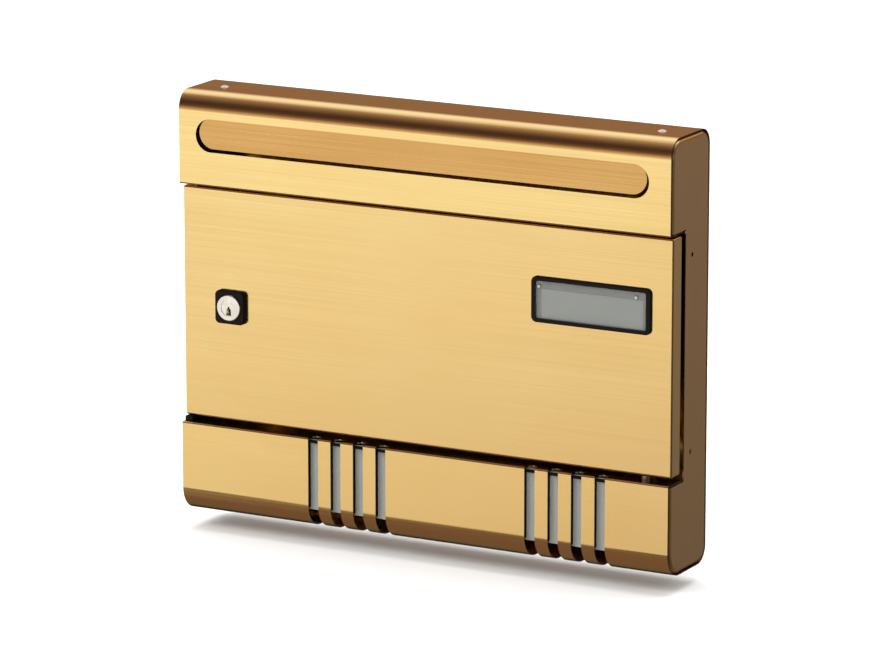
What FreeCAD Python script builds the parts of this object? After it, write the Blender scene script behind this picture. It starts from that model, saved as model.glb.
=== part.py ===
"""Slim wall-mounted mailbox: a bent sheet-metal case with end caps, a lockable pivot door, a weighted
letter flap and two groups of viewing slots.  Millimetres, +Z up, +X to the right of someone facing the
door.  The wall is the plane Y = 0, the front of the case is at Y = -DEPTH, and the origin is the middle
of the four wall holes."""
import FreeCAD, Part
import math
import os

V = FreeCAD.Vector
X_AXIS = V(1, 0, 0)
Y_AXIS = V(0, 1, 0)
Z_AXIS = V(0, 0, 1)
OVERRUN = 1.0            # how far a cutter runs past what it cuts
ROOT = 0.5               # how far joined lengths of one piece run into each other
LOOSE = 0.05             # radial clearance of turning and threaded fits
SNUG = 0.02              # radial clearance of fixed fits

# ---- case ---------------------------------------------------------------------------------------
WIDTH = 385.0
HEIGHT = 305.0
DEPTH = 60.0
SHEET = 1.0
SIDE = WIDTH / 2
SHELL_SIDE = SIDE - 0.8   # the wrapped sheet stops a little short of the caps' faces
TOP = HEIGHT / 2
FRONT = -DEPTH
R_FRONT_TOP = 13.0       # bend between the upper fascia and the top
R_FRONT_BOTTOM = 18.0    # bend between the lower fascia and the bottom
R_BACK = 12.0            # bends at the back
R_LIP = 1.2              # outer radius of the folds beside the door
LIP_Z = 86.2             # both fascias end this far from the middle
LIP_DEPTH = 20.0         # how far each fascia's folded lip reaches in
WALL_HOLE_X = 150.0
WALL_HOLE_Z = 60.0
WALL_HOLE_R = 3.25

# ---- rivets -------------------------------------------------------------------------------------
RIVET_X = 171.0
RIVET_Y = FRONT + 28.4
RIVET_R = 2.0
RIVET_HEAD_R = 3.2
RIVET_DOME = 1.1
RIVET_TAIL_R = 2.8
RIVET_TAIL = 2.5

# ---- end caps -----------------------------------------------------------------------------------
CAP_GAP = 0.6            # between a cap's flange and the case
CAP_FLANGE = 8.0
R_CAP = 3.0              # bend between a cap's face and its flange
NOTCH_Y = FRONT + 22.5   # front edge of a cap beside the door
JOIN_HOLE_Y = FRONT + 32.5
JOIN_HOLE_Z = 68.8
JOIN_HOLE_R = 1.6
TAB_HALF = 8.0
TAB_REACH = 29.0         # a rivet tab's inner edge, from the end of the case
STOP_WIDTH = 12.0        # stop flange of the left cap
STOP_HALF = 78.0

# ---- letter slot and flap -----------------------------------------------------------------------
SLOT_X = -1.3
SLOT_Z = 122.4
SLOT_HEIGHT = 23.6
SLOT_LENGTH = 353.5
FLAP_LENGTH = 349.0
FLAP_LOW = 112.9
FLAP_HIGH = 135.3
FLAP_SHEET = 1.0
FLAP_FRONT = FRONT + SHEET + 0.4
FLAP_BACK = FLAP_FRONT + FLAP_SHEET
STRIP_SHEET = 0.8
STRIP_LOW = 124.0        # lower edge of the hinge strip
WEIGHT_DEPTH = 8.0
WEIGHT_HEIGHT = 5.0
WEIGHT_LENGTH = 328.0
WEIGHT_LOW = FLAP_LOW + 1.2
ROD_R = 2.0
ROD_FIT = 0.08
KNUCKLE_IN = ROD_R + ROD_FIT
KNUCKLE_OUT = KNUCKLE_IN + STRIP_SHEET
FLAP_AXIS_Y = FRONT + SHEET + 0.32 + KNUCKLE_OUT
FLAP_AXIS_Z = 138.6
KNUCKLES = ((-172.0, -112.0), (-30.0, 30.0), (112.0, 172.0))
EAR_X = 179.5            # inner face of a rod bracket
EAR_R = 4.0
FOOT_WIDTH = 4.5
BRACKET_SHEET = 1.0
BRACKET_LOW = SLOT_Z - 4.0
CLIP_R = 2.9
CLIP_SHEET = 0.6
GROOVE = 0.7
GROOVE_DEPTH = 0.5

# ---- viewing slots, their windows and gaskets ---------------------------------------------------
GRILLE_CENTRES = (-58.0, 113.0)
GRILLE_COUNT = 4
GRILLE_PITCH = 18.0
GRILLE_WIDTH = 8.0
GRILLE_LIP = 4.0         # how far each slot runs in over the lip, before its round end
GRILLE_UNDER = 4.0       # and how far past the bottom bend
WINDOW_WIDTH = 78.0
WINDOW_SHEET = 2.0
WINDOW_TOP = -LIP_Z - 2.0
WINDOW_BOTTOM = -TOP + 13.8
WINDOW_MID = (WINDOW_TOP + WINDOW_BOTTOM) / 2
WINDOW_TALL = WINDOW_TOP - WINDOW_BOTTOM
GASKET_SHEET = 3.2
GASKET_BOTTOM = -TOP + 15.5
GASKET_RIM = 1.5         # foam left above each opening
GASKET_FRONT = FRONT + SHEET + 0.25
WINDOW_FRONT = GASKET_FRONT + GASKET_SHEET + 0.05
HOLDER_SHEET = 0.8
HOLDER_HALF = 10.0
HOLDER_FOOT = 8.0
HOLDER_HOOK = 4.0
HOLDER_GAP = 0.3

# ---- door ---------------------------------------------------------------------------------------
DOOR_SIDE = SIDE - 0.7
DOOR_TOP = 84.2
DOOR_BOTTOM = -82.0
DOOR_FRONT = FRONT + 5.0
DOOR_BACK = DOOR_FRONT + 12.2
R_DOOR = 1.4
DOOR_MID = (DOOR_TOP + DOOR_BOTTOM) / 2
HINGE_X = 169.0
HINGE_Y = FRONT + 12.5
PIN_R = 2.0
PIN_HEAD_R = 4.0
PIN_HEAD = 1.2
PIN_CHAMFER = 0.6
UPPER_PIN = 9.5          # length of each pin below its head
LOWER_PIN = 12.0
BUSH_R = 4.0
BUSH_FLANGE_R = 5.5
BUSH_FLANGE = 1.0
BUSH_SLEEVE = 3.5
COLLAR_R = 3.0

# ---- door glide and stop buffers ----------------------------------------------------------------
GLIDE_X = -187.9
GLIDE_OUTER = -SHELL_SIDE + 0.5
GLIDE_INNER = -185.6
GLIDE_FRONT = FRONT + 3.5
GLIDE_BACK = FRONT + 18.5
GLIDE_STEM_R = 1.5
GLIDE_BARB_R = 1.9
GLIDE_GAP = 0.4
BUFFER_X = 187.0         # measured on the right-hand pattern that the left cap mirrors
BUFFER_Z = 52.0
BUFFER_R = 3.5
BUFFER_STEM_R = 1.5
BUFFER_BARB_R = 2.1
BUFFER_GAP = 0.3

# ---- lock ---------------------------------------------------------------------------------------
LOCK_X = -153.0
LOCK_Z = DOOR_MID - 0.8
BEZEL_WIDTH = 23.3
BEZEL_HEIGHT = 23.8
BEZEL_PROUD = 3.8
R_BEZEL = 3.4
LOCK_FACE = DOOR_FRONT - 4.8
LOCK_FLANGE_R = 9.5
LOCK_FLANGE = 2.0
BARREL_R = 8.0
BARREL_FLAT = 7.0        # half width across the barrel's flats
BARREL_END = FRONT + 23.0
LOCK_NUT_ACROSS = 22.0
LOCK_NUT = 3.5
PLUG_R = 6.0
PLUG_SINK = 0.3          # how far the plug's face sits inside the flange
COLLAR_STEP = 1.4        # by which the plug's rear collar is larger than the plug
KEYWAY_DEPTH = 15.0
KEYWAY_HALF = 0.8
KEYWAY_LOW = -5.0
KEYWAY_HIGH = 0.8
MOUTH_DEPTH = 2.5
MOUTH_HALF = 2.0         # half width of the keyway's wide lower mouth, at its foot
MOUTH_TOP_HALF = 1.7
MOUTH_TOP = -0.6
WAFER_COUNT = 5
WAFER_PITCH = 2.2
WAFER_SHEET = 0.9
WAFER_WIDTH = 5.0
WAFER_START = 4.0        # first wafer, behind the lock's face
WAFER_LIFTS = (0.0, 0.5, -0.4, 0.3, -0.2)
STRIKE_FRONT = NOTCH_Y + SHEET
STRIKE_SHEET = 1.5
STRIKE_HALF = 17.0
STRIKE_RIVET_R = 1.5
STRIKE_RIVET_X = 186.0   # measured on the right-hand pattern that the left cap mirrors
STRIKE_RIVET_Z = 12.0
CAM_FRONT = STRIKE_FRONT + STRIKE_SHEET + 0.4
CAM_SHEET = 2.0
CAM_REACH = 26.0
CAM_WIDTH = 13.0
SQUARE_HALF = 3.4        # half width of the plug's square
STUD_R = 2.5
STUD = 4.2               # length of thread behind the cam
WASHER_R = 6.2
WASHER_SHEET = 0.6
CAM_NUT_ACROSS = 8.0
CAM_NUT = 3.0

# ---- name plate ---------------------------------------------------------------------------------
PLATE_X = 130.4
PLATE_Z = 32.4
PLATE_WIDTH = 90.9
PLATE_HEIGHT = 32.2
PLATE_PROUD = 2.0
R_PLATE = 4.0
PANE_WIDTH = 84.8
PANE_HEIGHT = 27.4
PANE_SHEET = 1.5
PANE_FRONT = DOOR_FRONT - 1.0
SLEEVE_WALL = 1.5
SLEEVE_END = DOOR_FRONT + 4.5
CARD_FRONT = PANE_FRONT + PANE_SHEET + 0.05
CARD_SHEET = 0.4
CARD_TOP = 7.0           # the card's edges, from the middle of the plate
CARD_BOTTOM = -PANE_HEIGHT / 2 + 0.6
BACK_SHEET = 1.5
SCREW_XS = (-39.4, 34.4)
SCREW_Z = 9.2
SCREW_R = 0.75
SCREW_HEAD_R = 1.4
SCREW_HEAD = 0.7


# ---- helpers ------------------------------------------------------------------------------------
def box(x0, x1, y0, y1, z0, z1):
    return Part.makeBox(x1 - x0, y1 - y0, z1 - z0, V(x0, y0, z0))


def rod(radius, start, length, axis):
    return Part.makeCylinder(radius, length, start, axis)


def ring(outer, inner, start, length, axis):
    return rod(outer, start, length, axis).cut(rod(inner, start - axis, length + 2, axis))


def join(*solids):
    return solids[0].multiFuse(list(solids[1:])).removeSplitter()


def front_rim(solid, y):
    """Edges that lie in the solid's front plane."""
    return [e for e in solid.Edges if e.BoundBox.YMax < y + 0.01]


def deep_edges(solid):
    """Edges that run straight back, away from the viewer."""
    return [e for e in solid.Edges if abs(e.tangentAt(e.FirstParameter).y) > 0.99]


def rounded_edges(corners, radii, closed):
    """Straight runs and tangent arcs through right-angled corners, given as (y, z) at x = 0."""
    points = [V(0, y, z) for y, z in corners]
    count = len(points)
    turns = []
    for i, point in enumerate(points):
        if not closed and i in (0, count - 1) or radii[i] <= 0:
            turns.append((point, None, point))
            continue
        back = (points[i - 1] - point).normalize()
        ahead = (points[(i + 1) % count] - point).normalize()
        middle = point + (back + ahead) * (radii[i] * (1 - math.sqrt(0.5)))
        turns.append((point + back * radii[i], middle, point + ahead * radii[i]))
    edges = []
    for i, (start, middle, end) in enumerate(turns):
        if middle is not None:
            edges.append(Part.Arc(start, middle, end).toShape())
        if closed or i < count - 1:
            edges.append(Part.LineSegment(end, turns[(i + 1) % count][0]).toShape())
    return edges


def case_corners(inset, lip_end):
    """Corners and bend radii of the case's section, moved inwards by inset, from lip to lip."""
    front, back = FRONT + inset, -inset
    top, lip = TOP - inset, LIP_Z + inset
    corners = [
        (lip_end, lip), (front, lip), (front, top), (back, top),
        (back, -top), (front, -top), (front, -lip), (lip_end, -lip),
    ]
    radii = [0, R_LIP, R_FRONT_TOP, R_BACK, R_BACK, R_FRONT_BOTTOM, R_LIP, 0]
    return corners, [r - inset if r > inset else 0 for r in radii]


def plate_xz(width, height, radius, y0, y1, x=0.0, z=0.0):
    """Plate facing the front with rounded corners."""
    solid = box(x - width / 2, x + width / 2, y0, y1, z - height / 2, z + height / 2)
    return solid.makeFillet(radius, deep_edges(solid))


def slot_xz(length, height, y0, y1, x, z):
    """Plate with fully round ends, lying along X."""
    return plate_xz(length, height, height / 2 - 0.001, y0, y1, x, z)


def hex_nut(across, bore_r, y, thick, x, z):
    corner = across / math.sqrt(3)
    points = []
    for i in range(7):
        angle = math.radians(60 * i + 30)
        points.append(V(x + corner * math.cos(angle), y, z + corner * math.sin(angle)))
    prism = Part.Face(Part.makePolygon(points)).extrude(V(0, thick, 0))
    blank = prism.common(rod(corner * 0.97, V(x, y, z), thick, Y_AXIS))
    return blank.cut(rod(bore_r, V(x, y - OVERRUN, z), thick + 2 * OVERRUN, Y_AXIS))


# ---- case ---------------------------------------------------------------------------------------
def group_xs(centre):
    return [centre + (i - (GRILLE_COUNT - 1) / 2) * GRILLE_PITCH for i in range(GRILLE_COUNT)]


def viewing_slot(x):
    """Cutter for one slot: over the lower lip, down the fascia and round the bottom bend."""
    half = GRILLE_WIDTH / 2
    before = FRONT - OVERRUN
    lip_reach = FRONT + GRILLE_LIP
    lip_low = -LIP_Z - R_LIP
    lip_tall = R_LIP + OVERRUN
    under_reach = FRONT + R_FRONT_BOTTOM + GRILLE_UNDER
    under_low = -TOP - OVERRUN
    under_tall = R_FRONT_BOTTOM
    face_low = under_low + R_FRONT_BOTTOM / 2
    face = box(x - half, x + half, before, FRONT + SHEET + ROOT, face_low, -LIP_Z + OVERRUN)
    lip = box(x - half, x + half, before, lip_reach, lip_low, lip_low + lip_tall)
    lip_end = rod(half, V(x, lip_reach, lip_low), lip_tall, Z_AXIS)
    bend = box(x - half, x + half, before, under_reach, under_low, under_low + under_tall)
    bend_end = rod(half, V(x, under_reach, under_low), under_tall, Z_AXIS)
    return face.multiFuse([lip, lip_end, bend, bend_end])


def rivet_hole(x, sz):
    return rod(RIVET_R + LOOSE, V(x, RIVET_Y, sz * TOP - 5), 10, Z_AXIS)


def lip_hole(x, radius, sz):
    return rod(radius + SNUG, V(x, HINGE_Y, sz * LIP_Z - 4), 8, Z_AXIS)


def body_shell():
    lip_end = FRONT + LIP_DEPTH
    outer = rounded_edges(*case_corners(0.0, lip_end), closed=False)
    inner = rounded_edges(*case_corners(SHEET, lip_end), closed=False)
    ends = [
        Part.LineSegment(V(0, lip_end, s * LIP_Z), V(0, lip_end, s * (LIP_Z + SHEET))).toShape()
        for s in (1, -1)
    ]
    section = Part.Face(Part.Wire(Part.sortEdges(outer + inner + ends)[0]))
    section.translate(V(-SHELL_SIDE, 0, 0))
    shell = section.extrude(V(2 * SHELL_SIDE, 0, 0))
    before = FRONT - OVERRUN
    cutters = [slot_xz(SLOT_LENGTH, SLOT_HEIGHT, before, FRONT + SHEET + OVERRUN, SLOT_X, SLOT_Z)]
    for centre in GRILLE_CENTRES:
        cutters += [viewing_slot(x) for x in group_xs(centre)]
    for sx in (-1, 1):
        for sz in (-1, 1):
            cutters.append(rod(WALL_HOLE_R, V(sx * WALL_HOLE_X, -5, sz * WALL_HOLE_Z), 10, Y_AXIS))
            cutters.append(rivet_hole(sx * RIVET_X, sz))
    cutters += [lip_hole(HINGE_X, PIN_R, sz) for sz in (-1, 1)]
    cutters.append(lip_hole(GLIDE_X, GLIDE_STEM_R, -1))
    return shell.cut(cutters)


# ---- end caps -----------------------------------------------------------------------------------
def cap_blank(inset, depth, notch_y, radius):
    """Solid of a cap's outline at the right-hand end, depth thick, with its outer rim rounded."""
    edges = rounded_edges(*case_corners(inset, notch_y), closed=True)
    blank = Part.Face(Part.Wire(edges))
    blank.translate(V(SIDE - depth, 0, 0))
    blank = blank.extrude(V(depth, 0, 0))
    lip = LIP_Z + inset
    rim = []
    for edge in blank.Edges:
        span = edge.BoundBox
        on_face = span.XMin > SIDE - 0.001
        beside_door = span.ZMin > -lip - 0.001 and span.ZMax < lip + 0.001
        on_lip = span.ZLength < 0.001 and abs(abs(span.ZMin) - lip) < 0.001
        if on_face and not beside_door and not on_lip:
            rim.append(edge)
    return blank.makeFillet(radius, rim)


def side_cap(sign):
    inset = SHEET + CAP_GAP
    outer = cap_blank(inset, CAP_FLANGE, NOTCH_Y, R_CAP)
    hollow = cap_blank(inset + SHEET, CAP_FLANGE, NOTCH_Y - 5, R_CAP - SHEET)
    hollow.translate(V(-SHEET, 0, 0))
    cap = outer.cut(hollow)
    tab_x0, tab_x1 = SIDE - TAB_REACH, SIDE - CAP_FLANGE + ROOT
    tab_y0, tab_y1 = RIVET_Y - TAB_HALF, RIVET_Y + TAB_HALF
    extras = []
    for sz in (-1, 1):
        z = sorted((sz * (TOP - inset), sz * (TOP - inset - SHEET)))
        extras.append(box(tab_x0, tab_x1, tab_y0, tab_y1, *z))
    if sign < 0:  # the lock side has a folded stop flange beside the door
        flange = box(SIDE - STOP_WIDTH, SIDE - ROOT, NOTCH_Y, NOTCH_Y + SHEET, -STOP_HALF, STOP_HALF)
        extras.append(flange)
    cap = join(cap, *extras)
    through = NOTCH_Y - 2
    holes = []
    for sz in (-1, 1):
        holes.append(rivet_hole(RIVET_X, sz))
        holes.append(rod(JOIN_HOLE_R, V(SIDE - 3, JOIN_HOLE_Y, sz * JOIN_HOLE_Z), 5, X_AXIS))
        if sign < 0:
            strike_z = LOCK_Z + sz * STRIKE_RIVET_Z
            holes.append(rod(STRIKE_RIVET_R + SNUG, V(STRIKE_RIVET_X, through, strike_z), 6, Y_AXIS))
            holes.append(rod(BUFFER_STEM_R + SNUG, V(BUFFER_X, through, sz * BUFFER_Z), 6, Y_AXIS))
    if sign < 0:
        holes.append(lip_hole(-GLIDE_X, GLIDE_STEM_R, -1))
    cap = cap.cut(holes)
    return cap if sign > 0 else cap.mirror(V(0, 0, 0), X_AXIS)


# ---- rivets of the case -------------------------------------------------------------------------
def rivet(x, y, z, sign):
    """Dome-headed blind rivet through the case and a cap's tab, its head towards sign * Z."""
    grip = SHEET * 2 + CAP_GAP
    outside = V(0, 0, sign)
    ball = (RIVET_HEAD_R ** 2 + RIVET_DOME ** 2) / (2 * RIVET_DOME)
    head = Part.makeSphere(ball, V(x, y, z + sign * (RIVET_DOME - ball)))
    head = head.common(rod(RIVET_HEAD_R, V(x, y, z), RIVET_DOME, outside))
    shank = rod(RIVET_R, V(x, y, z), grip + ROOT, -outside)
    tail = Part.makeCone(RIVET_TAIL_R, RIVET_R, RIVET_TAIL, V(x, y, z - sign * grip), -outside)
    return join(head, shank, tail)


def rivet_pair(sign):
    return [rivet(sx * RIVET_X, RIVET_Y, sign * TOP, sign) for sx in (-1, 1)]


# ---- lock side furniture ------------------------------------------------------------------------
def lock_strike():
    """Plate behind the left cap's stop flange, which the cam turns behind."""
    inner_x = LOCK_X - 17
    back = STRIKE_FRONT + STRIKE_SHEET
    plate = box(-SIDE + 2.5, inner_x, STRIKE_FRONT, back, LOCK_Z - STRIKE_HALF, LOCK_Z + STRIKE_HALF)
    free = [e for e in deep_edges(plate) if e.BoundBox.XMin > inner_x - 0.01]
    plate = plate.makeFillet(4, free)
    holes = []
    for s in (-1, 1):
        start = V(-STRIKE_RIVET_X, STRIKE_FRONT - OVERRUN, LOCK_Z + s * STRIKE_RIVET_Z)
        holes.append(rod(STRIKE_RIVET_R + SNUG, start, 5, Y_AXIS))
    return plate.cut(holes)


def strike_rivets():
    head_tall = 0.9
    grip = SHEET + STRIKE_SHEET
    rivets = []
    for s in (-1, 1):
        z = LOCK_Z + s * STRIKE_RIVET_Z
        head = Part.makeCone(2.0, 3.0, head_tall, V(-STRIKE_RIVET_X, NOTCH_Y - head_tall, z), Y_AXIS)
        shank = rod(STRIKE_RIVET_R, V(-STRIKE_RIVET_X, NOTCH_Y - ROOT, z), grip + 2 * ROOT, Y_AXIS)
        tail = Part.makeCone(2.6, 2.0, 1.0, V(-STRIKE_RIVET_X, NOTCH_Y + grip, z), Y_AXIS)
        rivets.append(join(head, shank, tail))
    return rivets


def stop_buffers():
    """Rubber buttons on the stop flange that the closed door rests against."""
    tall = NOTCH_Y - DOOR_BACK - BUFFER_GAP
    buffers = []
    for s in (-1, 1):
        z = s * BUFFER_Z
        pad = rod(BUFFER_R, V(-BUFFER_X, NOTCH_Y, z), tall, -Y_AXIS)
        pad = pad.makeFillet(0.8, front_rim(pad, NOTCH_Y - tall))
        stem = rod(BUFFER_STEM_R, V(-BUFFER_X, NOTCH_Y - ROOT, z), SHEET + 1.7, Y_AXIS)
        barb = Part.makeCone(BUFFER_BARB_R, 1.2, 1.2, V(-BUFFER_X, NOTCH_Y + SHEET + LOOSE, z), Y_AXIS)
        buffers.append(join(pad, stem, barb))
    return buffers


def door_glide():
    """Block on the lower lip, pegged through the cap's flange, that carries the closed door's free end."""
    top = DOOR_BOTTOM - GLIDE_GAP
    pad = box(GLIDE_OUTER, GLIDE_INNER, GLIDE_FRONT, GLIDE_BACK, -LIP_Z, top)
    pad = pad.makeFillet(1.0, [e for e in pad.Edges if e.BoundBox.ZMin > top - 0.01])
    grip = SHEET * 2 + CAP_GAP + LOOSE
    stem = rod(GLIDE_STEM_R, V(GLIDE_X, HINGE_Y, -LIP_Z + ROOT), grip + 1.5, -Z_AXIS)
    barb = Part.makeCone(GLIDE_BARB_R, 1.2, 1.2, V(GLIDE_X, HINGE_Y, -LIP_Z - grip), -Z_AXIS)
    return join(pad, stem, barb)


# ---- viewing windows ----------------------------------------------------------------------------
def view_gasket(centre):
    """Foam comb between the fascia and a window, open downwards behind each slot."""
    back = GASKET_FRONT + GASKET_SHEET
    half = WINDOW_WIDTH / 2
    sheet = box(centre - half, centre + half, GASKET_FRONT, back, GASKET_BOTTOM, WINDOW_TOP)
    before, behind = GASKET_FRONT - OVERRUN, back + OVERRUN
    low, high = GASKET_BOTTOM - OVERRUN, WINDOW_TOP - GASKET_RIM
    half_gap = GRILLE_WIDTH / 2 + 0.4
    return sheet.cut([box(x - half_gap, x + half_gap, before, behind, low, high) for x in group_xs(centre)])


def view_window(centre):
    back = WINDOW_FRONT + WINDOW_SHEET
    return plate_xz(WINDOW_WIDTH, WINDOW_TALL, 2.0, WINDOW_FRONT, back, centre, WINDOW_MID)


def window_clips():
    """A stepped sheet clip at each end of each window, welded to the back of the fascia."""
    clips = []
    inside = FRONT + SHEET
    back = WINDOW_FRONT + WINDOW_SHEET + 0.1
    z = (WINDOW_MID - HOLDER_HALF, WINDOW_MID + HOLDER_HALF)
    for centre in GRILLE_CENTRES:
        for s in (-1, 1):
            edge = centre + s * (WINDOW_WIDTH / 2 + HOLDER_GAP)
            outer = edge + s * HOLDER_SHEET
            foot = box(*sorted((edge, edge + s * HOLDER_FOOT)), inside, inside + HOLDER_SHEET, *z)
            riser = box(*sorted((edge, outer)), inside, back + HOLDER_SHEET, *z)
            hook = box(*sorted((edge - s * HOLDER_HOOK, outer)), back, back + HOLDER_SHEET, *z)
            clips.append(join(foot, riser, hook))
    return clips


# ---- letter flap --------------------------------------------------------------------------------
def flap_face():
    """Round-ended plate just behind the slot."""
    tall = FLAP_HIGH - FLAP_LOW
    return slot_xz(FLAP_LENGTH, tall, FLAP_FRONT, FLAP_BACK, SLOT_X, (FLAP_HIGH + FLAP_LOW) / 2)


def flap_hinge_strip():
    """Strip behind the flap's plate, with rolled knuckles that turn on the rod."""
    back = FLAP_BACK + STRIP_SHEET
    half = KNUCKLES[-1][1]
    pieces = [box(-half, half, FLAP_BACK, back, STRIP_LOW, FLAP_HIGH - 1)]
    for x0, x1 in KNUCKLES:
        pieces.append(box(x0, x1, FLAP_BACK, back, FLAP_HIGH - 2, FLAP_AXIS_Z - ROD_R))
        pieces.append(ring(KNUCKLE_OUT, KNUCKLE_IN, V(x0, FLAP_AXIS_Y, FLAP_AXIS_Z), x1 - x0, X_AXIS))
    strip = join(*pieces)
    mouth_low = FLAP_AXIS_Z - KNUCKLE_OUT - OVERRUN
    mouths = [
        box(x0 - OVERRUN, x1 + OVERRUN, FLAP_AXIS_Y + 0.4, FLAP_AXIS_Y + 4, mouth_low, FLAP_AXIS_Z - 1.3)
        for x0, x1 in KNUCKLES
    ]
    bores = [
        rod(KNUCKLE_IN, V(x0 - OVERRUN, FLAP_AXIS_Y, FLAP_AXIS_Z), x1 - x0 + 2 * OVERRUN, X_AXIS)
        for x0, x1 in KNUCKLES
    ]
    return strip.cut(mouths + bores)


def flap_weight():
    """Bar low on the back of the plate, which swings the flap shut against the fascia."""
    half = WEIGHT_LENGTH / 2
    top = WEIGHT_LOW + WEIGHT_HEIGHT
    bar = box(SLOT_X - half, SLOT_X + half, FLAP_BACK, FLAP_BACK + WEIGHT_DEPTH, WEIGHT_LOW, top)
    rear = [e for e in bar.Edges if e.BoundBox.YMin > FLAP_BACK + WEIGHT_DEPTH - 0.01]
    return bar.makeChamfer(0.6, rear)


def flap_rod():
    """Hinge rod with a groove for a clip outside each bracket."""
    half = EAR_X + 4.0
    shaft = rod(ROD_R, V(-half, FLAP_AXIS_Y, FLAP_AXIS_Z), 2 * half, X_AXIS)
    shaft = shaft.makeChamfer(0.4, [e for e in shaft.Edges if e.BoundBox.XLength < 0.01])
    start = EAR_X + BRACKET_SHEET + 0.3
    grooves = [
        ring(ROD_R + OVERRUN, ROD_R - GROOVE_DEPTH, V(x, FLAP_AXIS_Y, FLAP_AXIS_Z), GROOVE, X_AXIS)
        for x in (start, -start - GROOVE)
    ]
    return shaft.cut(grooves)


def rod_clips():
    start = EAR_X + BRACKET_SHEET + 0.35
    clips = []
    for x in (start, -start - CLIP_SHEET):
        disc = ring(CLIP_R, ROD_R - GROOVE_DEPTH + LOOSE, V(x, FLAP_AXIS_Y, FLAP_AXIS_Z), CLIP_SHEET, X_AXIS)
        mouth = box(x - 1, x + 2, FLAP_AXIS_Y - 1.2, FLAP_AXIS_Y + 1.2, FLAP_AXIS_Z - 5, FLAP_AXIS_Z)
        clips.append(disc.cut(mouth))
    return clips


def flap_bracket(sign):
    """Angle welded behind the fascia beside the slot; its ear holds the rod."""
    inside = FRONT + SHEET
    back = FLAP_AXIS_Y + EAR_R
    ear_out = EAR_X + BRACKET_SHEET
    foot = box(EAR_X, EAR_X + FOOT_WIDTH, inside, inside + BRACKET_SHEET, BRACKET_LOW, FLAP_AXIS_Z - 4)
    ear = box(EAR_X, ear_out, inside, back, BRACKET_LOW, FLAP_AXIS_Z - 2)
    eye = rod(EAR_R, V(EAR_X, FLAP_AXIS_Y, FLAP_AXIS_Z), BRACKET_SHEET, X_AXIS)
    eye = eye.common(box(EAR_X, ear_out, inside + 0.4, back + 1, BRACKET_LOW, FLAP_AXIS_Z + 5))
    bracket = join(foot, ear, eye)
    corner = V(EAR_X - 1, back + 1, BRACKET_LOW - 1)
    slope = Part.Face(Part.makePolygon([
        corner,
        V(EAR_X - 1, inside + 3, BRACKET_LOW - 1),
        V(EAR_X - 1, back + 1, FLAP_AXIS_Z - 3),
        corner,
    ])).extrude(V(3, 0, 0))
    hole = rod(ROD_R + 0.03, V(EAR_X - 1, FLAP_AXIS_Y, FLAP_AXIS_Z), 3, X_AXIS)
    bracket = bracket.cut([slope, hole])
    return bracket if sign > 0 else bracket.mirror(V(0, 0, 0), X_AXIS)


# ---- door ---------------------------------------------------------------------------------------
def pan(inset, radius, back):
    half = DOOR_SIDE - inset
    solid = box(-half, half, DOOR_FRONT + inset, back, DOOR_BOTTOM + inset, DOOR_TOP - inset)
    return solid.makeFillet(radius, front_rim(solid, DOOR_FRONT + inset) + deep_edges(solid))


def barrel_prism(clearance, y0, y1):
    """Round barrel with two flats, grown by clearance."""
    radius, flat = BARREL_R + clearance, BARREL_FLAT + clearance
    drum = rod(radius, V(LOCK_X, y0, LOCK_Z), y1 - y0, Y_AXIS)
    return drum.common(box(LOCK_X - flat, LOCK_X + flat, y0, y1, LOCK_Z - radius, LOCK_Z + radius))


def door_panel():
    door = pan(0.0, R_DOOR, DOOR_BACK).cut(pan(SHEET, R_DOOR - SHEET, DOOR_BACK + 5))
    wide = PANE_WIDTH + 2 * SLEEVE_WALL + 0.4
    tall = PANE_HEIGHT + 2 * SLEEVE_WALL + 0.4
    before, behind = DOOR_FRONT - OVERRUN, DOOR_FRONT + SHEET + OVERRUN
    cutters = [
        barrel_prism(0.1, before, behind),
        plate_xz(wide, tall, 2.5, before, behind, PLATE_X, PLATE_Z),
    ]
    for z in (DOOR_TOP, DOOR_BOTTOM):
        cutters.append(rod(BUSH_R + SNUG, V(HINGE_X, HINGE_Y, z - 3), 6, Z_AXIS))
    return door.cut(cutters)


def hinge_bush(z, sign):
    """Flanged nylon bush, its flange outside the door, towards sign * Z."""
    outside = V(0, 0, sign)
    flange = rod(BUSH_FLANGE_R, V(HINGE_X, HINGE_Y, z), BUSH_FLANGE, outside)
    sleeve = rod(BUSH_R, V(HINGE_X, HINGE_Y, z), BUSH_SLEEVE, -outside)
    bore = rod(PIN_R + LOOSE, V(HINGE_X, HINGE_Y, z - sign * 6), 12, outside)
    return join(flange, sleeve).cut(bore)


def hinge_pin(sign):
    """Headed pin through a lip into the door's bush."""
    inwards = V(0, 0, -sign)
    seat = sign * (LIP_Z + SHEET)
    head = rod(PIN_HEAD_R, V(HINGE_X, HINGE_Y, seat), PIN_HEAD, -inwards)
    reach = UPPER_PIN if sign > 0 else LOWER_PIN
    shaft = rod(PIN_R, V(HINGE_X, HINGE_Y, seat + sign * ROOT), reach + ROOT, inwards)
    tip_z = seat - sign * reach
    tip = [e for e in shaft.Edges if e.BoundBox.ZLength < 0.01 and abs(e.BoundBox.ZMin - tip_z) < 0.01]
    return join(head, shaft.makeChamfer(PIN_CHAMFER, tip))


def hinge_collar():
    """Collar on the lower pin that carries the door."""
    tall = DOOR_BOTTOM - BUSH_FLANGE + LIP_Z - 0.1
    return ring(COLLAR_R, PIN_R + 0.03, V(HINGE_X, HINGE_Y, -LIP_Z), tall, Z_AXIS)


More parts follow.
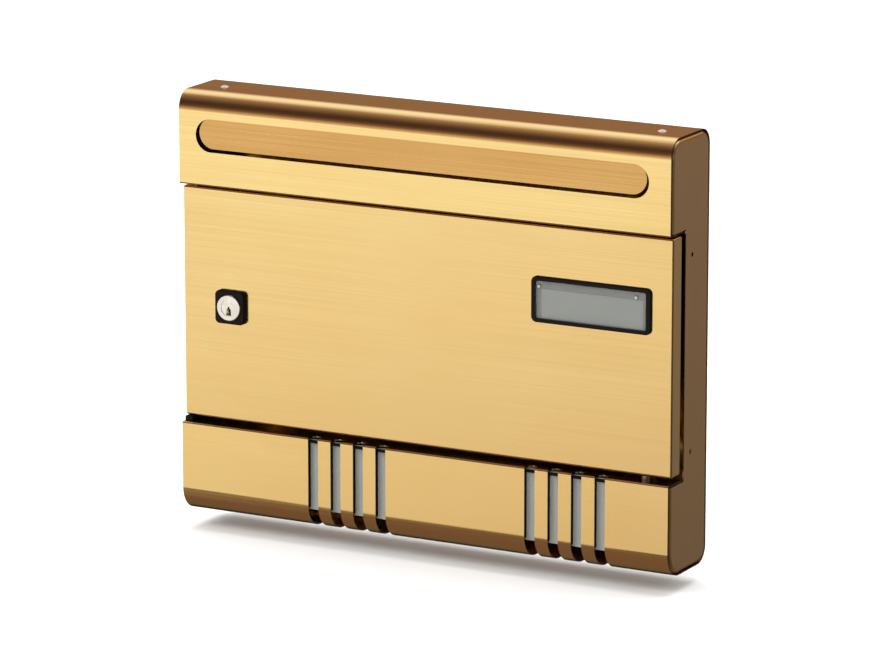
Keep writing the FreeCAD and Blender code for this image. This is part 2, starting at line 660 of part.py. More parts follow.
# ---- lock ---------------------------------------------------------------------------------------
def lock_bezel():
    """Square surround with a round seat for the lock's flange."""
    front = DOOR_FRONT - BEZEL_PROUD
    plate = plate_xz(BEZEL_WIDTH, BEZEL_HEIGHT, R_BEZEL, front, DOOR_FRONT, LOCK_X, LOCK_Z)
    plate = plate.makeFillet(0.9, front_rim(plate, front))
    depth = LOCK_FACE + LOCK_FLANGE - front
    seat = rod(LOCK_FLANGE_R + 0.1, V(LOCK_X, front - OVERRUN, LOCK_Z), depth + OVERRUN, Y_AXIS)
    return plate.cut([seat, barrel_prism(0.1, front, DOOR_FRONT + OVERRUN)])


def lock_body():
    """Round face and flatted barrel, bored for the plug."""
    flange = rod(LOCK_FLANGE_R, V(LOCK_X, LOCK_FACE, LOCK_Z), LOCK_FLANGE, Y_AXIS)
    flange = flange.makeFillet(0.7, front_rim(flange, LOCK_FACE))
    barrel = barrel_prism(0.0, LOCK_FACE + LOCK_FLANGE - ROOT, BARREL_END)
    length = BARREL_END - LOCK_FACE + 2 * OVERRUN
    bore = rod(PLUG_R + LOOSE, V(LOCK_X, LOCK_FACE - OVERRUN, LOCK_Z), length, Y_AXIS)
    return join(flange, barrel).cut(bore)


def lock_nut():
    return hex_nut(LOCK_NUT_ACROSS, BARREL_R + LOOSE, DOOR_FRONT + SHEET, LOCK_NUT, LOCK_X, LOCK_Z)


def wafer_ys():
    first = LOCK_FACE + WAFER_START
    return [first + i * WAFER_PITCH for i in range(WAFER_COUNT)]


def trapezium(y, low_half, high_half, low, high):
    """Closed outline across the keyway, given from the plug's axis."""
    corners = [(-low_half, low), (low_half, low), (high_half, high), (-high_half, high), (-low_half, low)]
    return Part.makePolygon([V(LOCK_X + x, y, LOCK_Z + z) for x, z in corners])


def square_prism(half, y0, y1):
    return box(LOCK_X - half, LOCK_X + half, y0, y1, LOCK_Z - half, LOCK_Z + half)


def lock_plug():
    """Turning plug with its keyway, wafer slots, square shank and threaded end."""
    face = LOCK_FACE + PLUG_SINK
    rear = BARREL_END + 0.1
    core = rod(PLUG_R, V(LOCK_X, face, LOCK_Z), BARREL_END - face, Y_AXIS)
    neck = rod(PLUG_R - ROOT, V(LOCK_X, BARREL_END - ROOT, LOCK_Z), 2 * ROOT, Y_AXIS)
    collar = rod(PLUG_R + COLLAR_STEP, V(LOCK_X, rear, LOCK_Z), CAM_FRONT - rear, Y_AXIS)
    shank = square_prism(SQUARE_HALF, CAM_FRONT - ROOT, CAM_FRONT + CAM_SHEET - 0.1)
    stud = rod(STUD_R, V(LOCK_X, CAM_FRONT, LOCK_Z), CAM_SHEET + STUD, Y_AXIS)
    plug = join(core, collar, neck, shank, stud)
    left, right = LOCK_X - KEYWAY_HALF, LOCK_X + KEYWAY_HALF
    low, high = LOCK_Z + KEYWAY_LOW, LOCK_Z + KEYWAY_HIGH
    keyway = box(left, right, face - OVERRUN, face + KEYWAY_DEPTH, low, high)
    mouth = Part.makeLoft([
        trapezium(face - 0.01, MOUTH_HALF, MOUTH_TOP_HALF, KEYWAY_LOW - 0.4, MOUTH_TOP),
        trapezium(face + MOUTH_DEPTH, KEYWAY_HALF, KEYWAY_HALF, KEYWAY_LOW, MOUTH_TOP),
    ], True)
    half = WAFER_WIDTH / 2 + 0.1
    slots = [
        box(LOCK_X - half, LOCK_X + half, y - 0.1, y + WAFER_SHEET + 0.1, LOCK_Z - 8, LOCK_Z + 8)
        for y in wafer_ys()
    ]
    return plug.cut([keyway, mouth] + slots)


def lock_wafers():
    """Flat tumblers, each with a window for the key, drawn in level with the plug."""
    half = WAFER_WIDTH / 2
    wafers = []
    for y, lift in zip(wafer_ys(), WAFER_LIFTS):
        blank = box(LOCK_X - half, LOCK_X + half, y, y + WAFER_SHEET, LOCK_Z - 7, LOCK_Z + 7)
        blank = blank.common(rod(PLUG_R - 0.1, V(LOCK_X, y - 1, LOCK_Z), 4, Y_AXIS))
        window = box(LOCK_X - 1.3, LOCK_X + 1.3, y - 1, y + 2, LOCK_Z - 3.6 + lift, LOCK_Z + 2.6 + lift)
        wafers.append(blank.cut(window))
    return wafers


def lock_cam():
    """Flat bar on the plug's square, hanging down when the door is unlocked."""
    back = CAM_FRONT + CAM_SHEET
    half = CAM_WIDTH / 2
    tip_z = LOCK_Z - CAM_REACH + half
    bar = box(LOCK_X - half, LOCK_X + half, CAM_FRONT, back, tip_z, LOCK_Z)
    hub = rod(half + 1.5, V(LOCK_X, CAM_FRONT, LOCK_Z), CAM_SHEET, Y_AXIS)
    tip = rod(half, V(LOCK_X, CAM_FRONT, tip_z), CAM_SHEET, Y_AXIS)
    hole = square_prism(SQUARE_HALF + LOOSE, CAM_FRONT - OVERRUN, back + OVERRUN)
    return join(hub, bar, tip).cut(hole)


def cam_washer():
    start = V(LOCK_X, CAM_FRONT + CAM_SHEET, LOCK_Z)
    return ring(WASHER_R, STUD_R + 2 * LOOSE, start, WASHER_SHEET, Y_AXIS)


def cam_nut():
    start = CAM_FRONT + CAM_SHEET + WASHER_SHEET
    return hex_nut(CAM_NUT_ACROSS, STUD_R + 0.03, start, CAM_NUT, LOCK_X, LOCK_Z)


# ---- name plate ---------------------------------------------------------------------------------
def nameplate_frame():
    """Black surround: a rim in front of the door and a sleeve through it."""
    front = DOOR_FRONT - PLATE_PROUD
    rim = plate_xz(PLATE_WIDTH, PLATE_HEIGHT, R_PLATE, front, DOOR_FRONT, PLATE_X, PLATE_Z)
    rim = rim.makeFillet(0.8, front_rim(rim, front))
    wide, tall = PANE_WIDTH + 2 * SLEEVE_WALL, PANE_HEIGHT + 2 * SLEEVE_WALL
    sleeve = plate_xz(wide, tall, 2.4, DOOR_FRONT - ROOT, SLEEVE_END, PLATE_X, PLATE_Z)
    behind = SLEEVE_END + OVERRUN
    mouth = plate_xz(PANE_WIDTH - 1, PANE_HEIGHT - 1, 1.5, front - OVERRUN, behind, PLATE_X, PLATE_Z)
    seat = plate_xz(PANE_WIDTH + 0.2, PANE_HEIGHT + 0.2, 1.5, PANE_FRONT, behind, PLATE_X, PLATE_Z)
    return join(rim, sleeve).cut([mouth, seat])


def screw_holes(y0, y1, radius):
    return [
        rod(radius, V(PLATE_X + x, y0, PLATE_Z + SCREW_Z), y1 - y0, Y_AXIS) for x in SCREW_XS
    ]


def nameplate_pane():
    back = PANE_FRONT + PANE_SHEET
    pane = plate_xz(PANE_WIDTH, PANE_HEIGHT, 1.4, PANE_FRONT, back, PLATE_X, PLATE_Z)
    return pane.cut(screw_holes(PANE_FRONT - OVERRUN, back + OVERRUN, SCREW_R + 0.1))


def name_card():
    middle = PLATE_Z + (CARD_TOP + CARD_BOTTOM) / 2
    back = CARD_FRONT + CARD_SHEET
    return plate_xz(PANE_WIDTH - 8, CARD_TOP - CARD_BOTTOM, 0.5, CARD_FRONT, back, PLATE_X, middle)


def nameplate_back():
    """Plate that holds the card against the pane; the screws end inside it."""
    start = CARD_FRONT + CARD_SHEET + LOOSE
    plate = plate_xz(PANE_WIDTH, PANE_HEIGHT, 1.4, start, start + BACK_SHEET, PLATE_X, PLATE_Z)
    return plate.cut(screw_holes(start - OVERRUN, start + BACK_SHEET - 0.3, SCREW_R + 0.01))


def nameplate_screws():
    length = PANE_SHEET + CARD_SHEET + 1.2
    screws = []
    for offset in SCREW_XS:
        x, z = PLATE_X + offset, PLATE_Z + SCREW_Z
        head = rod(SCREW_HEAD_R, V(x, PANE_FRONT - SCREW_HEAD, z), SCREW_HEAD, Y_AXIS)
        head = head.makeFillet(0.5, front_rim(head, PANE_FRONT - SCREW_HEAD))
        shank = rod(SCREW_R, V(x, PANE_FRONT - 0.2, z), length, Y_AXIS)
        screws.append(join(head, shank))
    return screws


# ---- export -------------------------------------------------------------------------------------
NODES = {
    "body_shell": body_shell,
    "left_side_cap": lambda: side_cap(-1),
    "right_side_cap": lambda: side_cap(1),
    "top_rivets": lambda: rivet_pair(1),
    "bottom_rivets": lambda: rivet_pair(-1),
    "lock_strike": lock_strike,
    "strike_rivets": strike_rivets,
    "stop_buffers": stop_buffers,
    "door_glide": door_glide,
    "left_view_gasket": lambda: view_gasket(GRILLE_CENTRES[0]),
    "right_view_gasket": lambda: view_gasket(GRILLE_CENTRES[1]),
    "left_view_window": lambda: view_window(GRILLE_CENTRES[0]),
    "right_view_window": lambda: view_window(GRILLE_CENTRES[1]),
    "window_clips": window_clips,
    "flap_rod": flap_rod,
    "rod_clips": rod_clips,
    "left_flap_bracket": lambda: flap_bracket(-1),
    "right_flap_bracket": lambda: flap_bracket(1),
    "flap_face": flap_face,
    "flap_hinge_strip": flap_hinge_strip,
    "flap_weight": flap_weight,
    "upper_hinge_pin": lambda: hinge_pin(1),
    "lower_hinge_pin": lambda: hinge_pin(-1),
    "hinge_collar": hinge_collar,
    "door_panel": door_panel,
    "upper_hinge_bush": lambda: hinge_bush(DOOR_TOP, 1),
    "lower_hinge_bush": lambda: hinge_bush(DOOR_BOTTOM, -1),
    "lock_bezel": lock_bezel,
    "lock_body": lock_body,
    "lock_nut": lock_nut,
    "lock_plug": lock_plug,
    "lock_wafers": lock_wafers,
    "lock_cam": lock_cam,
    "cam_washer": cam_washer,
    "cam_nut": cam_nut,
    "nameplate_frame": nameplate_frame,
    "nameplate_pane": nameplate_pane,
    "name_card": name_card,
    "nameplate_back": nameplate_back,
    "nameplate_screws": nameplate_screws,
}

os.makedirs("parts", exist_ok=True)
for name, make in NODES.items():
    made = make()
    shape = Part.Compound(made) if isinstance(made, list) else made
    solids = shape.Solids
    if not shape.isValid() or not solids or min(s.Volume for s in solids) <= 0:
        raise ValueError(name + " is not a set of closed solids")
    print(f"{name:20s} solids {len(solids)}  volume {shape.Volume:10.1f} mm3")
    (shape if len(solids) > 1 else solids[0]).exportStep(f"parts/{name}.step")
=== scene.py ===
"""Looks and studio for the slim wall mounted mailbox.  Metres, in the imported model's own frame."""
import math

import bpy
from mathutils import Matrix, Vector


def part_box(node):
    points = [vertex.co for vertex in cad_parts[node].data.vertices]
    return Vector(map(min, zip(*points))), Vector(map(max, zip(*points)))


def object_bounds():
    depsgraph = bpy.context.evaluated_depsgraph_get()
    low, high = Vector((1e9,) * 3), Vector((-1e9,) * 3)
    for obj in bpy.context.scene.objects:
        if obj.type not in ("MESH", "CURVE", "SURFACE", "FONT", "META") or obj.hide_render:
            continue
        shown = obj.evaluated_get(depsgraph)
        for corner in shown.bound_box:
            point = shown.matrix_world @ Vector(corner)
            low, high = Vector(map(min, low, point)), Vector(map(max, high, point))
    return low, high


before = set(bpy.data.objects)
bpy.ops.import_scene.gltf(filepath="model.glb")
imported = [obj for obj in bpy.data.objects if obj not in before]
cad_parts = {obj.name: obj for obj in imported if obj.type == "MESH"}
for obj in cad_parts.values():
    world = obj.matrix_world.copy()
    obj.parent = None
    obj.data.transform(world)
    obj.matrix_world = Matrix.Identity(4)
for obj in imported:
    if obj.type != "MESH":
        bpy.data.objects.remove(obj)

CAD_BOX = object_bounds()

# ---- view -----------------------------------------------------------------------------------------
CAMERA_PLACE = Vector((1.7198, -3.1553, 0.8438))   # from the middle of the front
CAMERA_TURN = math.radians(28.331)
CAMERA_TILT = math.radians(13.211)
LENS_MM = 217.36
SENSOR_MM = 36.0
CAMERA_SIGHT = 100.0

# ---- studio ---------------------------------------------------------------------------------------
FLOOR_SIZE = 14.0
FLOOR_GAP = 0.012
FLOOR_GREY = 0.90
FLOOR_SHADE = 0.02        # by which the floor's clouds are darker
FLOOR_CLOUDS = 2.0        # clouds per metre
PLAIN_LIGHT = (0.95, 0.95, 0.95)      # all that is not a reflection sees this even white
WHITE = (1.0, 1.0, 1.0)
LAMPS = (
    # name, place from the middle of the box, width and height, watts, colour
    ("key", (-1.1, -1.6, 1.5), (1.2, 1.2), 28.0, (1.0, 0.98, 0.95)),
    ("fill", (1.8, -1.0, 0.8), (1.5, 1.0), 6.0, WHITE),
    ("floor_wash", (0.0, 0.6, 3.0), (3.0, 3.0), 90.0, WHITE),
)

# ---- what the metal reflects ----------------------------------------------------------------------
# Each direction is a unit vector: an X of 1 is straight to the right of someone facing the box, a Y of
# -1 straight out in front of it, and a Z of 1 straight up.  Edges and limits are the values between
# which a patch fades in.  FRONT_LIGHT and BACK_LIGHT hold (degrees above the horizon, colour).
FRONT_LIGHT = (
    (-74.0, (0.18, 0.11, 0.09)),
    (-43.7, (0.17, 0.10, 0.08)),
    (-25.0, (0.14, 0.08, 0.055)),
    (-19.8, (0.25, 0.17, 0.13)),
    (-16.9, (0.62, 0.47, 0.41)),
    (-15.0, (0.88, 0.73, 0.63)),
    (-13.2, (1.06, 1.00, 0.83)),
    (-11.6, (1.22, 1.30, 1.25)),
    (-9.3, (1.24, 1.34, 1.28)),
    (-6.0, (1.02, 0.90, 0.80)),
    (-1.8, (0.70, 0.50, 0.40)),
    (3.2, (0.34, 0.18, 0.13)),
    (9.2, (0.17, 0.085, 0.052)),
    (18.2, (0.085, 0.042, 0.030)),
    (29.2, (0.045, 0.021, 0.019)),
    (39.2, (0.065, 0.033, 0.029)),
    (49.2, (0.14, 0.078, 0.062)),
    (58.2, (0.25, 0.155, 0.125)),
    (62.2, (0.36, 0.25, 0.21)),
    (66.2, (0.52, 0.40, 0.34)),
)
BACK_LIGHT = (
    (-50.0, (0.15, 0.11, 0.09)),
    (-16.7, (0.165, 0.135, 0.125)),
    (-10.7, (0.24, 0.20, 0.19)),
    (-1.0, (0.24, 0.15, 0.11)),
    (13.7, (0.245, 0.118, 0.054)),
    (17.7, (0.29, 0.155, 0.088)),
    (24.7, (0.56, 0.42, 0.33)),
    (32.7, (0.88, 0.78, 0.72)),
    (40.7, (1.08, 1.05, 1.06)),
    (48.7, (1.10, 1.10, 1.22)),
    (55.7, (1.03, 1.00, 1.06)),
    (61.7, (0.84, 0.72, 0.68)),
    (74.0, (0.60, 0.48, 0.42)),
)
BACK_EDGE = (-0.12, 0.18)             # the Y over which the front gives way to the back
HORIZON_TILT = 0.10                   # the Z by which the front stands higher for each unit of X
HORIZON_LEFT = -0.464                 # the X where it does not; left of that the back starts later
# (degrees to the right of straight in front, how much of the light is gone there)
RIGHT_GAP = ((0.0, 0.0), (30.0, 1.0), (66.0, 1.0), (84.0, 0.60), (118.0, 0.60), (138.0, 0.0))
DARK = (0.035, 0.024, 0.018)
CORNER_SLOPE = 0.12                   # the X by which the dark corner's edge moves for each unit of Y
CORNER_EDGE = (0.06, -0.08)
CORNER_LIMITS = (("Y", 0.25, 0.45), ("Z", 0.04, -0.10), ("Z", -0.85, -0.70))
LEFT_CARD = (0.98, 0.88, 0.75)
LEFT_CARD_EDGE = (-0.535, -0.605)
LEFT_CARD_LIMITS = (("Y", 0.10, -0.05), ("Z", 0.10, -0.02), ("Z", -0.75, -0.60))

# ---- finishes -------------------------------------------------------------------------------------
# Lengths, pitches and depths in metres; "per metre" where a texture counts its own cells.
X, Z = 0, 2                           # axes that a sheet is brushed along
# painted shade: the near-black colour given to the sheet's cut ends, for the shadowed seams along them
CUT_END_SHADE = (0.10, 0.06, 0.03)
CUT_SQUARE = (0.90, 0.95)             # how square to X a face is before it counts as a cut end
STREAK = (0.300, 0.0005)              # length and pitch of the brushing
STREAK_DEPTH = 0.0000012
HAIRLINE = (0.600, 0.0016)
HAIRLINE_DEPTH = 0.0000010
DYE_CLOUD = (0.110, 0.060)
PLATING_GRAIN = 0.0008
PLATING_DEPTH = 0.000004
PLATING_DULL = 0.72                   # brightness of the coating's dull patches
HANDLING_MARK = 0.012
RUBBED_PALER = 1.35                   # brightness of plastic where it has been handled
RUBBED_GREY = 0.001                   # and the grey added to it there
DUST_PALER = 1.2
CARD_SHADE = 0.86
RIPPLES_PER_METRE = 60.0
RIPPLE_DEPTH = 0.00012
DUST_PER_METRE = 900.0
FIBRES_PER_METRE = 700.0
FIBRE_DEPTH = 0.00003
TONES_PER_METRE = 45.0


# ---- node helpers ---------------------------------------------------------------------------------
class Shader:
    """A material with its Principled shader, and short ways to add and join nodes."""

    def __init__(self, name, color, metallic=0.0, roughness=0.5, **sockets):
        self.material = bpy.data.materials.new(name)
        self.material.use_nodes = True
        self.nodes = self.material.node_tree.nodes
        self.links = self.material.node_tree.links
        self.bsdf = self.nodes["Principled BSDF"]
        self.bsdf.inputs["Base Color"].default_value = (*color, 1.0)
        self.bsdf.inputs["Metallic"].default_value = metallic
        self.bsdf.inputs["Roughness"].default_value = roughness
        for socket, value in sockets.items():
            self.bsdf.inputs[socket.replace("_", " ")].default_value = value
        self.coordinates = self.nodes.new("ShaderNodeTexCoord").outputs["Object"]

    def join(self, source, target):
        self.links.new(source, target)

    def noise(self, scale, detail=4.0, roughness=0.5):
        """Noise with its own scale along X, Y and Z, in cycles per metre."""
        mapping = self.nodes.new("ShaderNodeMapping")
        mapping.inputs["Scale"].default_value = scale
        texture = self.nodes.new("ShaderNodeTexNoise")
        texture.inputs["Scale"].default_value = 1.0
        texture.inputs["Detail"].default_value = detail
        texture.inputs["Roughness"].default_value = roughness
        self.join(self.coordinates, mapping.inputs["Vector"])
        self.join(mapping.outputs["Vector"], texture.inputs["Vector"])
        return texture.outputs["Fac"]

    def spread(self, value, low, high, start=0.3, end=0.7):
        """Maps a texture value from start..end to low..high."""
        node = self.nodes.new("ShaderNodeMapRange")
        node.inputs["From Min"].default_value = start
        node.inputs["From Max"].default_value = end
        node.inputs["To Min"].default_value = low
        node.inputs["To Max"].default_value = high
        self.join(value, node.inputs["Value"])
        return node.outputs["Result"]

    def tint(self, factor, first, second):
        """A colour between first and second; either may be another node's output."""
        node = self.nodes.new("ShaderNodeMix")
        node.data_type = "RGBA"
        for socket, value in ((node.inputs["A"], first), (node.inputs["B"], second)):
            color = [s for s in node.inputs if s.name == socket.name and s.type == "RGBA"][0]
            if hasattr(value, "is_output"):
                self.join(value, color)
            else:
                color.default_value = (*value, 1.0)
        self.join(factor, [s for s in node.inputs if s.name == "Factor" and s.type == "VALUE"][0])
        return [s for s in node.outputs if s.type == "RGBA"][0]

    def base(self, color):
        self.join(color, self.bsdf.inputs["Base Color"])

    def rough(self, value):
        self.join(value, self.bsdf.inputs["Roughness"])

    def bump(self, *layers):
        """Stacks (height, depth in metres) pairs as bumps."""
        normal = None
        for height, depth in layers:
            node = self.nodes.new("ShaderNodeBump")
            node.inputs["Strength"].default_value = 1.0
            node.inputs["Distance"].default_value = depth
            self.join(height, node.inputs["Height"])
            if normal is not None:
                self.join(normal, node.inputs["Normal"])
            normal = node.outputs["Normal"]
        self.join(normal, self.bsdf.inputs["Normal"])


def even(count):
    """Noise scale with that many cells per metre in every direction."""
    return (count,) * 3


def along(axis, length, across):
    """Noise scale for streaks of that length along one axis and that pitch across it."""
    return tuple(1 / length if i == axis else 1 / across for i in range(3))


# ---- materials ------------------------------------------------------------------------------------
def paint_shade_on_cut_ends(shader, color):
    """Paints the sheet's cut ends, which are its only faces square to X, near black: painted shade for
    the shadowed gaps along them.
    """
    geometry = shader.nodes.new("ShaderNodeNewGeometry")
    parts = shader.nodes.new("ShaderNodeSeparateXYZ")
    shader.join(geometry.outputs["True Normal"], parts.inputs["Vector"])
    square = shader.nodes.new("ShaderNodeMath")
    square.operation = "ABSOLUTE"
    shader.join(parts.outputs["X"], square.inputs[0])
    return shader.tint(shader.spread(square.outputs["Value"], 0.0, 1.0, *CUT_SQUARE), color, CUT_END_SHADE)


def brushed_gold(name, light, deep, grain_axis, roughness, shaded_ends=False):
    """Gold anodised sheet, brushed along one axis, with faint clouds and lines of deeper dye, and,
    where asked, painted shade on its cut ends.
    """
    shader = Shader(name, light, metallic=1.0, roughness=roughness)
    streaks = shader.noise(along(grain_axis, *STREAK), detail=5.0, roughness=0.65)
    hairlines = shader.noise(along(grain_axis, *HAIRLINE), detail=3.0)
    clouds = shader.noise(along(grain_axis, *DYE_CLOUD), detail=2.0)
    dye = shader.tint(shader.spread(clouds, 0.0, 0.8), light, deep)
    lines = shader.tint(shader.spread(hairlines, 0.0, 0.25), dye, deep)
    # painted shade on the cut ends, where asked
    shader.base(paint_shade_on_cut_ends(shader, lines) if shaded_ends else lines)
    shader.rough(shader.spread(streaks, roughness - 0.04, roughness + 0.06))
    shader.bump((streaks, STREAK_DEPTH), (hairlines, HAIRLINE_DEPTH))
    return shader.material


def plated_steel(name, color, roughness, patch):
    """Plated steel with the faint patchy lustre of its coating."""
    shader = Shader(name, color, metallic=1.0, roughness=roughness)
    patches = shader.noise(even(1 / patch), detail=2.0)
    fine = shader.noise(even(1 / PLATING_GRAIN), detail=3.0)
    shader.base(shader.tint(shader.spread(patches, 0.0, 0.5), color, [c * PLATING_DULL for c in color]))
    shader.rough(shader.spread(fine, roughness - 0.06, roughness + 0.10))
    shader.bump((fine, PLATING_DEPTH))
    return shader.material


def moulded(name, color, roughness, grain, depth, gloss=0.5):
    """Moulded plastic or rubber with a fine spark-eroded grain."""
    shader = Shader(name, color, roughness=roughness, Specular_IOR_Level=gloss)
    texture = shader.noise(even(1 / grain), detail=3.0)
    marks = shader.noise(even(1 / HANDLING_MARK), detail=3.0)
    rubbed = [c * RUBBED_PALER + RUBBED_GREY for c in color]
    shader.base(shader.tint(shader.spread(marks, 0.0, 0.5), color, rubbed))
    shader.rough(shader.spread(texture, roughness - 0.06, roughness + 0.10))
    shader.bump((texture, depth))
    return shader.material


def clear_sheet(name, color, alpha, roughness):
    """Smoke-tinted plastic sheet with a slight ripple."""
    shader = Shader(name, color, roughness=roughness, Alpha=alpha)
    ripple = shader.noise(even(RIPPLES_PER_METRE), detail=2.0)
    dust = shader.noise(even(DUST_PER_METRE), detail=4.0)
    shader.base(shader.tint(shader.spread(dust, 0.0, 0.4), color, [c * DUST_PALER for c in color]))
    shader.rough(shader.spread(dust, roughness - 0.03, roughness + 0.10))
    shader.bump((ripple, RIPPLE_DEPTH))
    return shader.material


def paper_card(name, color):
    """Uncoated card with a fine fibre and a faint unevenness of tone."""
    shader = Shader(name, color, roughness=0.85)
    fibre = shader.noise(even(FIBRES_PER_METRE), detail=5.0, roughness=0.7)
    tone = shader.noise(even(TONES_PER_METRE), detail=2.0)
    shader.base(shader.tint(shader.spread(tone, 0.0, 0.6), color, [c * CARD_SHADE for c in color]))
    shader.bump((fibre, FIBRE_DEPTH))
    return shader.material


def dress_nodes():
    """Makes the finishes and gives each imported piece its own."""
    finishes = {
        # the shell's gold, with painted shade on its cut ends
        brushed_gold("case_gold", (0.94, 0.71, 0.32), (0.91, 0.65, 0.275), X, 0.18, shaded_ends=True): [
            "body_shell",
        ],
        # painted shade: a slightly darker copy of the case gold, for the door reading darker than the
        # strips under this light
        brushed_gold("door_gold_painted_shade", (0.91, 0.68, 0.31), (0.89, 0.63, 0.275), X, 0.19): ["door_panel"],
        # painted shade: a darker copy of the case gold for the end caps, which are the same gold turned
        # away from the light
        brushed_gold("cap_gold_painted_shade", (0.80, 0.57, 0.28), (0.76, 0.53, 0.25), Z, 0.24): [
            "left_side_cap", "right_side_cap",
        ],
        # partly painted shade: the flap's own deeper, more orange gold, darkened further for the shade
        # of the slot it sits back in
        brushed_gold("flap_gold_and_painted_shade", (0.87, 0.545, 0.21), (0.80, 0.48, 0.17), X, 0.28): [
            "flap_face", "flap_hinge_strip",
        ],
        plated_steel("rivet_aluminium", (0.90, 0.88, 0.85), 0.28, 0.004): [
            "top_rivets", "bottom_rivets", "strike_rivets", "nameplate_screws",
        ],
        plated_steel("zinc_plate", (0.70, 0.71, 0.72), 0.32, 0.006): [
            "lock_strike", "window_clips", "flap_rod", "rod_clips",
            "left_flap_bracket", "right_flap_bracket",
            "flap_weight", "upper_hinge_pin", "lower_hinge_pin", "hinge_collar",
            "lock_nut", "lock_cam", "cam_washer", "cam_nut",
        ],
        plated_steel("bright_nickel", (0.90, 0.88, 0.84), 0.16, 0.010): ["lock_body", "lock_plug"],
        # painted shade: the wafers' brass is darkened so the keyway reads black
        plated_steel("wafer_brass_painted_shade", (0.30, 0.21, 0.09), 0.45, 0.005): ["lock_wafers"],
        moulded("black_moulding", (0.005, 0.004, 0.004), 0.36, 0.0006, 0.00002, gloss=0.12): [
            "lock_bezel", "nameplate_frame", "nameplate_back", "door_glide",
            "upper_hinge_bush", "lower_hinge_bush",
        ],
        moulded("black_rubber", (0.030, 0.030, 0.030), 0.78, 0.0009, 0.00005): ["stop_buffers"],
        moulded("black_foam", (0.004, 0.004, 0.004), 0.95, 0.0007, 0.00012, gloss=0.1): [
            "left_view_gasket", "right_view_gasket",
        ],
        clear_sheet("name_pane", (0.28, 0.29, 0.27), 0.35, 0.14): ["nameplate_pane"],
        clear_sheet("window_sheet", (0.36, 0.37, 0.34), 0.85, 0.22): [
            "left_view_window", "right_view_window",
        ],
        paper_card("grey_card", (0.26, 0.265, 0.25)): ["name_card"],
    }
    for material, names in finishes.items():
        for name in names:
            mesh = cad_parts[name].data
            mesh.materials.clear()
            mesh.materials.append(material)


# ---- studio ---------------------------------------------------------------------------------------
def add_floor():
    low, high = CAD_BOX
    half = FLOOR_SIZE / 2
    z = low.z - FLOOR_GAP
    mesh = bpy.data.meshes.new("floor")
    corners = [(-half, -half, z), (half, -half, z), (half, half, z), (-half, half, z)]
    mesh.from_pydata(corners, [], [(0, 1, 2, 3)])
    floor = bpy.data.objects.new("floor", mesh)
    bpy.context.scene.collection.objects.link(floor)
    floor.visible_glossy = False
    pale, shaded = (FLOOR_GREY,) * 3, (FLOOR_GREY - FLOOR_SHADE,) * 3
    shader = Shader("floor_paint", pale, roughness=0.9)
    clouds = shader.noise(even(FLOOR_CLOUDS))
    shader.base(shader.tint(shader.spread(clouds, 0.0, 0.2), pale, shaded))
    mesh.materials.append(shader.material)


def sine_place(degrees):
    """Place on a ramp, 0 straight down to 1 straight up, of a height above the horizon."""
    return (math.sin(math.radians(degrees)) + 1) / 2


def turn_place(degrees):
    """Place on a ramp, 0 to 1, of a turn from straight in front, positive to the right."""
    return (degrees + 180) / 360


class Surroundings:
    """The world with its nodes, and short ways to add and join them."""

    def __init__(self, name):
        self.world = bpy.data.worlds.new(name)
        self.world.use_nodes = True
        self.nodes = self.world.node_tree.nodes
        self.links = self.world.node_tree.links
        split = self.nodes.new("ShaderNodeSeparateXYZ")
        coordinates = self.nodes.new("ShaderNodeTexCoord")
        self.links.new(coordinates.outputs["Generated"], split.inputs["Vector"])
        self.axes = {axis: split.outputs[axis] for axis in "XYZ"}

    def light(self, color):
        node = self.nodes.new("ShaderNodeRGB")
        node.outputs["Color"].default_value = (*color, 1.0)
        return node.outputs["Color"]

    def ramp(self, place, stops):
        """Colour at a place between 0 and 1, from (place, colour) stops in that order."""
        node = self.nodes.new("ShaderNodeValToRGB")
        node.color_ramp.interpolation = "EASE"
        elements = node.color_ramp.elements
        while len(elements) < len(stops):
            elements.new(0.5)
        for element, (position, color) in zip(elements, stops):
            element.position = position
            element.color = (*color, 1.0)
        self.links.new(place, node.inputs["Fac"])
        return node.outputs["Color"]

    def calculate(self, operation, *values):
        node = self.nodes.new("ShaderNodeMath")
        node.operation = operation
        for socket, value in zip(node.inputs, values):
            if hasattr(value, "is_output"):
                self.links.new(value, socket)
            else:
                socket.default_value = value
        return node.outputs["Value"]

    def step(self, value, start, end):
        """0 before start and 1 past end, also where end is the lower of the two."""
        node = self.nodes.new("ShaderNodeMapRange")
        node.interpolation_type = "SMOOTHSTEP"
        low, high = sorted((start, end))
        node.inputs["From Min"].default_value = low
        node.inputs["From Max"].default_value = high
        node.inputs["To Min"].default_value = 0.0 if start < end else 1.0
        node.inputs["To Max"].default_value = 1.0 if start < end else 0.0
        self.links.new(value, node.inputs["Value"])
        return node.outputs["Result"]

    def within(self, mask, limits):
        """The mask, faded out by a step along each limit's axis."""
        for axis, start, end in limits:
            mask = self.calculate("MULTIPLY", mask, self.step(self.axes[axis], start, end))
        return mask

    def mix(self, factor, first, second):
        node = self.nodes.new("ShaderNodeMixRGB")
        self.links.new(factor, node.inputs["Fac"])
        self.links.new(first, node.inputs["Color1"])
        self.links.new(second, node.inputs["Color2"])
        return node.outputs["Color"]


def height_stops(lights):
    return [(sine_place(degrees), color) for degrees, color in lights]


def turn_stops(shares):
    return [(turn_place(degrees), (share,) * 3) for degrees, share in shares]


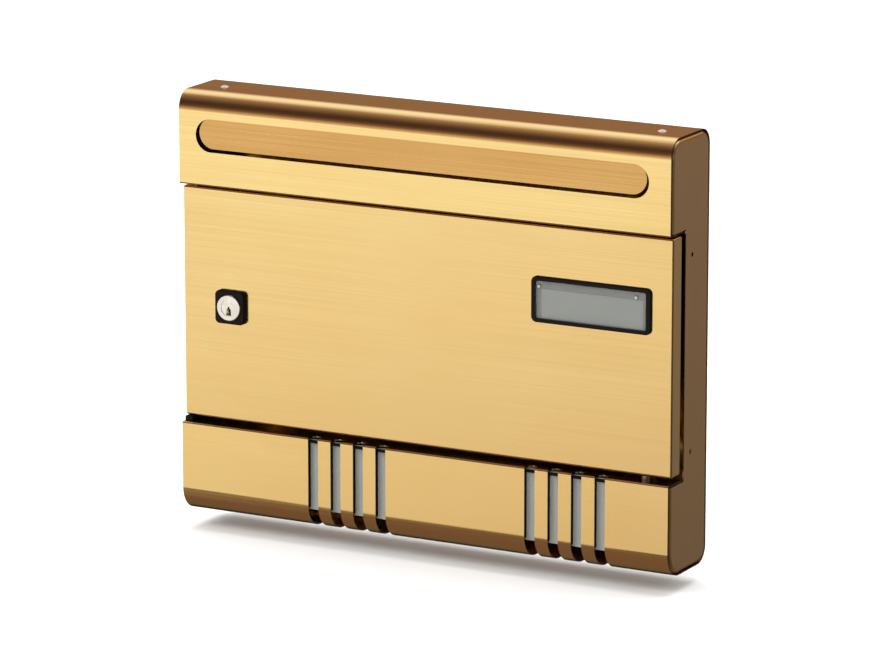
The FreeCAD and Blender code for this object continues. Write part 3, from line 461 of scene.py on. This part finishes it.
def studio_world():
    """An even white light, and what the metal reflects: a bright card in front at eye level and
    below it, a dark gap above it and on the right, a lit strip behind overhead, a dim brown room at
    the back with a dark corner low on the left, and a second card, low and far to the left."""
    studio = Surroundings("studio")
    bpy.context.scene.world = studio.world
    calculate = studio.calculate
    x, y, z = (studio.axes[axis] for axis in "XYZ")
    dark = studio.light(DARK)

    from_left = calculate("SUBTRACT", x, HORIZON_LEFT)
    tilted = calculate("SUBTRACT", z, calculate("MULTIPLY", from_left, HORIZON_TILT))
    front = studio.ramp(calculate("MULTIPLY_ADD", tilted, 0.5, 0.5), height_stops(FRONT_LIGHT))
    back = studio.ramp(calculate("MULTIPLY_ADD", z, 0.5, 0.5), height_stops(BACK_LIGHT))
    depth = calculate("ADD", y, calculate("MINIMUM", from_left, 0.0))
    room = studio.mix(studio.step(depth, *BACK_EDGE), front, back)

    turn = calculate("ARCTAN2", x, calculate("MULTIPLY", y, -1.0))
    gap = studio.ramp(calculate("MULTIPLY_ADD", turn, 0.5 / math.pi, 0.5), turn_stops(RIGHT_GAP))
    room = studio.mix(gap, room, dark)

    corner = studio.step(calculate("MULTIPLY_ADD", y, -CORNER_SLOPE, x), *CORNER_EDGE)
    room = studio.mix(studio.within(corner, CORNER_LIMITS), room, dark)

    card = studio.within(studio.step(x, *LEFT_CARD_EDGE), LEFT_CARD_LIMITS)
    room = studio.mix(card, room, studio.light(LEFT_CARD))

    reflected = studio.nodes.new("ShaderNodeLightPath").outputs["Is Glossy Ray"]
    shown = studio.mix(reflected, studio.light(PLAIN_LIGHT), room)
    studio.links.new(shown, studio.nodes["Background"].inputs["Color"])


def add_lights():
    """Soft area lamps that light the floor and the dull pieces but are not mirrored in the metal."""
    low, high = CAD_BOX
    middle = (low + high) / 2
    for name, offset, size, watts, color in LAMPS:
        data = bpy.data.lights.new(name, "AREA")
        data.shape = "RECTANGLE"
        data.size, data.size_y = size
        data.energy = watts
        data.color = color
        lamp = bpy.data.objects.new(name, data)
        lamp.location = middle + Vector(offset)
        lamp.rotation_mode = "QUATERNION"
        lamp.rotation_quaternion = (middle - lamp.location).to_track_quat("-Z", "Y")
        lamp.visible_glossy = False
        bpy.context.scene.collection.objects.link(lamp)


def add_camera():
    """A long lens, from the right and a little above."""
    low, high = CAD_BOX
    front_middle = Vector((0.0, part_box("body_shell")[0].y, (low.z + high.z) / 2))
    looking = Vector((
        -math.sin(CAMERA_TURN) * math.cos(CAMERA_TILT),
        math.cos(CAMERA_TURN) * math.cos(CAMERA_TILT),
        -math.sin(CAMERA_TILT),
    ))
    data = bpy.data.cameras.new("camera")
    data.lens = LENS_MM
    data.sensor_width = SENSOR_MM
    data.clip_end = CAMERA_SIGHT
    camera = bpy.data.objects.new("camera", data)
    camera.location = front_middle + CAMERA_PLACE
    camera.rotation_mode = "QUATERNION"
    camera.rotation_quaternion = looking.to_track_quat("-Z", "Y")
    bpy.context.scene.collection.objects.link(camera)
    bpy.context.scene.camera = camera


dress_nodes()
add_floor()
studio_world()
add_lights()
add_camera()
bpy.context.scene.view_settings.view_transform = "Standard"
